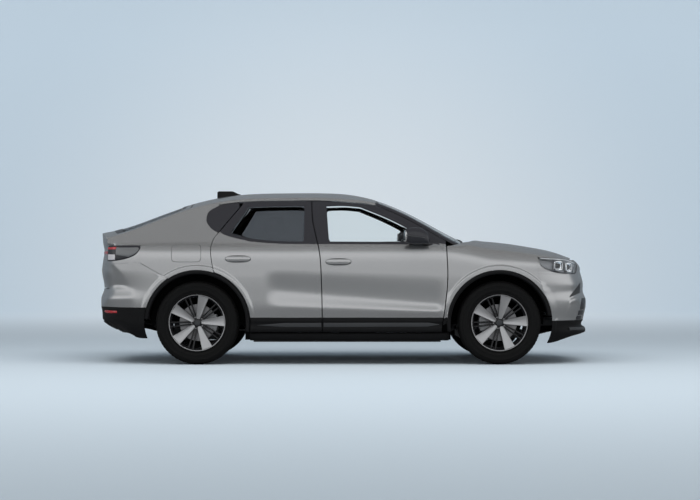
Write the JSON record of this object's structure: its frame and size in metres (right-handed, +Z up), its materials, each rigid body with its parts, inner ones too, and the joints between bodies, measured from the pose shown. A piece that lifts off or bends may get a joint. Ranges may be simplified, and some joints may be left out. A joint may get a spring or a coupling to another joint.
{
  "type": "coupe sport utility vehicle",
  "caption": "Electric coupe sport utility vehicle with hinged doors, bonnet, tailgate and charge flap, steered front wheels and rolling wheels.",
  "frame": {"origin": "on the ground at the middle of the length and width", "axes": "+X forward, +Y to the left, +Z up"},
  "size_m": [4.6329, 2.06, 1.626],
  "materials": {
    "paint": "silver grey metallic paint under clear coat",
    "gloss_black": "gloss black",
    "black_plastic": "grained black plastic",
    "glass": "tinted glass",
    "tyre": "black rubber",
    "alloy": "machined and black alloy",
    "lamp_clear": "clear lamp lens over dark housing",
    "lamp_red": "red and clear lamp lens",
    "seat_cloth": "dark woven cloth",
    "underbody": "satin dark coating",
    "chassis_steel": "satin black coating",
    "cast_alloy": "cast alloy"
  },
  "bodies": {
    "body": {"floor_pan": "underbody", "battery_pack": "chassis_steel", "side_sills": "black_plastic", "bulkhead": "underbody", "side_frames": "paint", "b_pillars": "gloss_black", "roof": "paint", "c_pillars": "paint", "quarters": "paint", "fenders": "paint", "bumper_front": "paint", "grille": "gloss_black", "cladding_front": "black_plastic", "bumper_rear": "paint", "cladding_rear": "black_plastic", "arch_trims": "black_plastic", "wheel_liners": "black_plastic", "cowl": "gloss_black", "windscreen": "glass", "quarter_windows": "glass", "headlamps": "lamp_clear", "tail_lamps": "lamp_red", "dashboard": "black_plastic", "steering_wheel": "black_plastic", "seats": "seat_cloth", "subframes": "chassis_steel", "drive_units": "cast_alloy"},
    "steer_left": {"knuckle_left": "chassis_steel"},
    "steer_right": {"knuckle_right": "chassis_steel"},
    "wheel_front_left": {"tyre_front_left": "tyre", "rim_front_left": "alloy"},
    "wheel_front_right": {"tyre_front_right": "tyre", "rim_front_right": "alloy"},
    "wheel_rear_left": {"tyre_rear_left": "tyre", "rim_rear_left": "alloy"},
    "wheel_rear_right": {"tyre_rear_right": "tyre", "rim_rear_right": "alloy"},
    "front_door_left": {"door_front_left": "paint", "glass_front_left": "glass", "mirror_left": "gloss_black"},
    "front_door_right": {"door_front_right": "paint", "glass_front_right": "glass", "mirror_right": "gloss_black"},
    "rear_door_left": {"door_rear_left": "paint", "glass_rear_left": "glass"},
    "rear_door_right": {"door_rear_right": "paint", "glass_rear_right": "glass"},
    "bonnet": {"bonnet": "paint"},
    "tailgate": {"tailgate": "paint", "rear_window": "glass"},
    "charge_flap": {"charge_flap": "paint"}
  },
  "joints": [
    {"name": "steer_left", "type": "hinge", "parent": "body", "child": "steer_left", "pos_m": [1.424, 0.73, 0.382], "axis": [0, 0, 1], "range_deg": [-34, 34]},
    {"name": "steer_right", "type": "hinge", "parent": "body", "child": "steer_right", "pos_m": [1.424, -0.73, 0.382], "axis": [0, 0, 1], "range_deg": [-34, 34]},
    {"name": "roll_front_left", "type": "hinge", "parent": "steer_left", "child": "wheel_front_left", "pos_m": [1.424, 0.8, 0.382], "axis": [0, 1, 0], "continuous": true},
    {"name": "roll_front_right", "type": "hinge", "parent": "steer_right", "child": "wheel_front_right", "pos_m": [1.424, -0.8, 0.382], "axis": [0, 1, 0], "continuous": true},
    {"name": "roll_rear_left", "type": "hinge", "parent": "body", "child": "wheel_rear_left", "pos_m": [-1.343, 0.8, 0.382], "axis": [0, 1, 0], "continuous": true},
    {"name": "roll_rear_right", "type": "hinge", "parent": "body", "child": "wheel_rear_right", "pos_m": [-1.343, -0.8, 0.382], "axis": [0, 1, 0], "continuous": true},
    {"name": "open_front_left", "type": "hinge", "parent": "body", "child": "front_door_left", "pos_m": [1.005, 0.89, 0.795], "axis": [0, 0, -1], "range_deg": [0, 68]},
    {"name": "open_rear_left", "type": "hinge", "parent": "body", "child": "rear_door_left", "pos_m": [-0.145, 0.89, 0.795], "axis": [0, 0, -1], "range_deg": [0, 68]},
    {"name": "open_front_right", "type": "hinge", "parent": "body", "child": "front_door_right", "pos_m": [1.005, -0.89, 0.795], "axis": [0, 0, 1], "range_deg": [0, 68]},
    {"name": "open_rear_right", "type": "hinge", "parent": "body", "child": "rear_door_right", "pos_m": [-0.145, -0.89, 0.795], "axis": [0, 0, 1], "range_deg": [0, 68]},
    {"name": "open_bonnet", "type": "hinge", "parent": "body", "child": "bonnet", "pos_m": [1.14, 0, 1.10067], "axis": [0, -1, 0], "range_deg": [0, 60]},
    {"name": "open_tailgate", "type": "hinge", "parent": "body", "child": "tailgate", "pos_m": [-1.36584, 0, 1.47365], "axis": [0, 1, 0], "range_deg": [0, 75]},
    {"name": "open_flap", "type": "hinge", "parent": "body", "child": "charge_flap", "pos_m": [-1.278, -0.91177, 0.998], "axis": [0, 0, 1], "range_deg": [0, 90]}
  ],
  "couplings": [
    {"joint": "steer_right", "follows": "steer_left", "ratio": 1}
  ]
}
